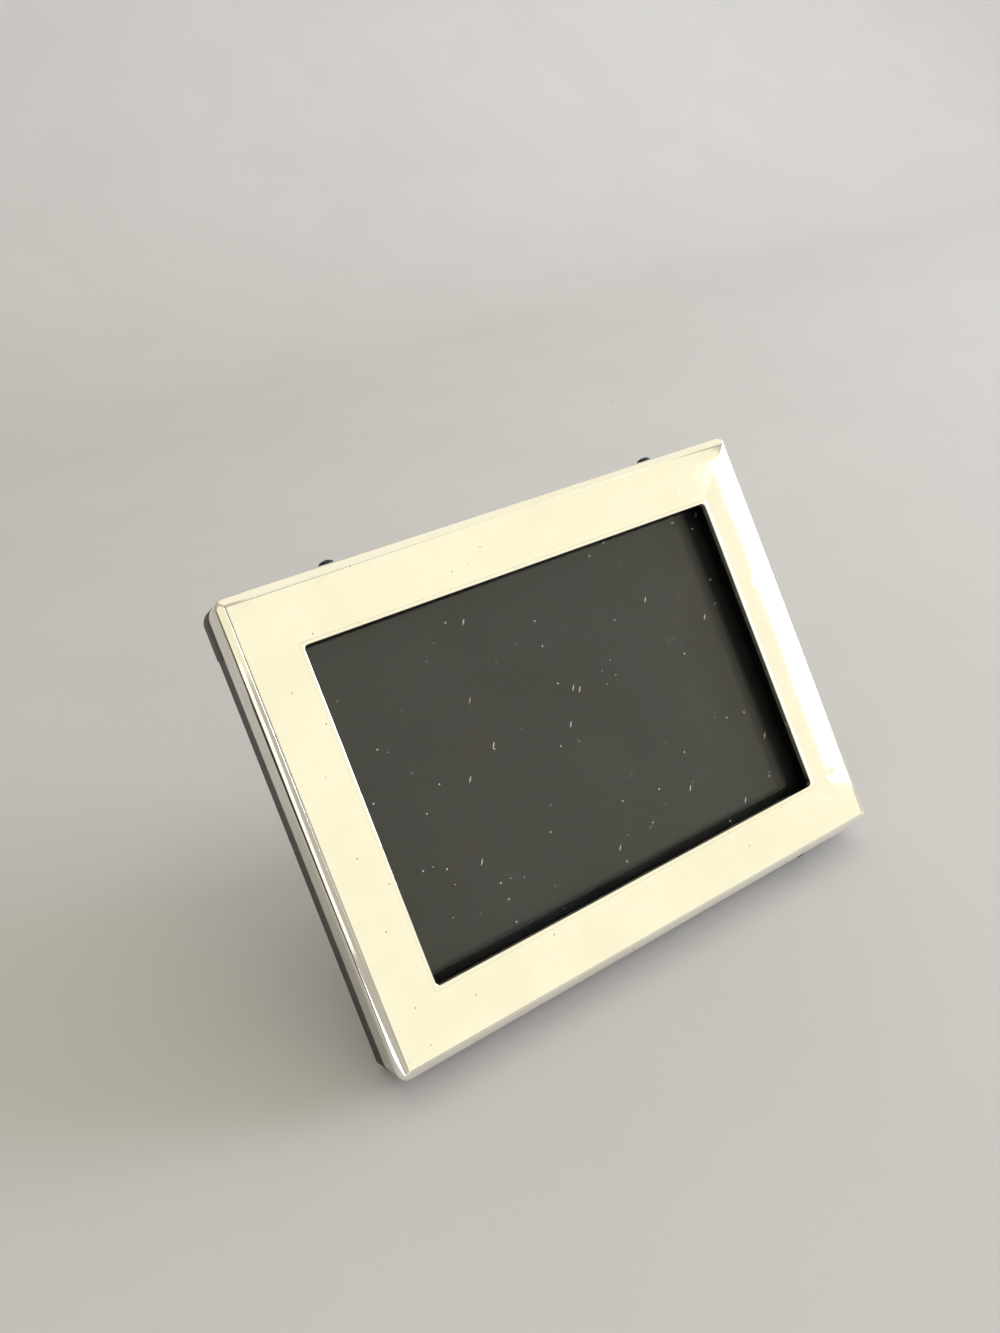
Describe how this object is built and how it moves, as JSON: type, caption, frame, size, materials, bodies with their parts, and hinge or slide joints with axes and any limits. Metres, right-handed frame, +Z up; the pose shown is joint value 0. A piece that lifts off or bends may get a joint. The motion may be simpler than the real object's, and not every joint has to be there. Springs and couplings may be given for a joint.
{
  "type": "picture frame",
  "caption": "Small landscape table frame: polished metal front over a dark wooden carcass, recessed glass, dark backing, turn buttons and a folding easel strut.",
  "frame": {"origin": "middle of the standing frame's footprint, on the table that it stands on", "axes": "+X to the frame's right seen from the front, +Y towards its back, +Z up; the face looks towards -Y and leans back 30 degrees"},
  "size_m": [0.106, 0.0546, 0.0761],
  "materials": {
    "silver": "polished silver sheet, lightly scratched",
    "black_wood": "black stained wood, satin",
    "black_card": "black board",
    "clear_glass": "clear glass with dust",
    "ribbed_cloth": "fine ribbed dark cloth on card",
    "packing": "plain packing board",
    "back_wood": "plain board",
    "leathercloth": "black leathercloth",
    "hinge_metal": "dull brass",
    "steel_pin": "drawn steel wire",
    "black_metal": "black lacquered steel, worn at the edges",
    "screw_steel": "darkened steel"
  },
  "bodies": {
    "frame": {"silver_front": "silver", "top_rail": "black_wood", "right_rail": "black_wood", "bottom_rail": "black_wood", "left_rail": "black_wood", "rail_pins": "steel_pin", "skirt_pins": "black_metal", "window_spacer": "black_card", "glass": "clear_glass", "backing_card": "ribbed_cloth", "packing_pad": "packing", "turn_button_screws": "screw_steel"},
    "back": {"back_board": "back_wood", "back_cover": "leathercloth", "hinge_plate": "hinge_metal", "hinge_plate_rivets": "hinge_metal", "hinge_pin": "steel_pin"},
    "easel": {"strut_leaf": "hinge_metal", "strut": "leathercloth", "strut_rivets": "hinge_metal"},
    "button_top_left": {"turn_button_top_left": "black_metal"},
    "button_top_right": {"turn_button_top_right": "black_metal"},
    "button_bottom_left": {"turn_button_bottom_left": "black_metal"},
    "button_bottom_right": {"turn_button_bottom_right": "black_metal"}
  },
  "joints": [
    {"name": "back_lift_out", "type": "slide", "parent": "frame", "child": "back", "axis": [0, 0.866, -0.5], "range_m": [0, 0.03]},
    {"name": "strut_fold", "type": "hinge", "parent": "back", "child": "easel", "pos_m": [0, 0.01385, 0.04873], "axis": [-1, 0, 0], "range_deg": [0, 42]},
    {"name": "top_left_turn", "type": "hinge", "parent": "frame", "child": "button_top_left", "pos_m": [-0.03, 0.02191, 0.0663], "axis": [0, 0.866, -0.5], "continuous": true},
    {"name": "top_right_turn", "type": "hinge", "parent": "frame", "child": "button_top_right", "pos_m": [0.03, 0.02191, 0.0663], "axis": [0, 0.866, -0.5], "continuous": true},
    {"name": "bottom_left_turn", "type": "hinge", "parent": "frame", "child": "button_bottom_left", "pos_m": [-0.03, -0.01459, 0.00308], "axis": [0, 0.866, -0.5], "continuous": true},
    {"name": "bottom_right_turn", "type": "hinge", "parent": "frame", "child": "button_bottom_right", "pos_m": [0.03, -0.01459, 0.00308], "axis": [0, 0.866, -0.5], "continuous": true}
  ]
}
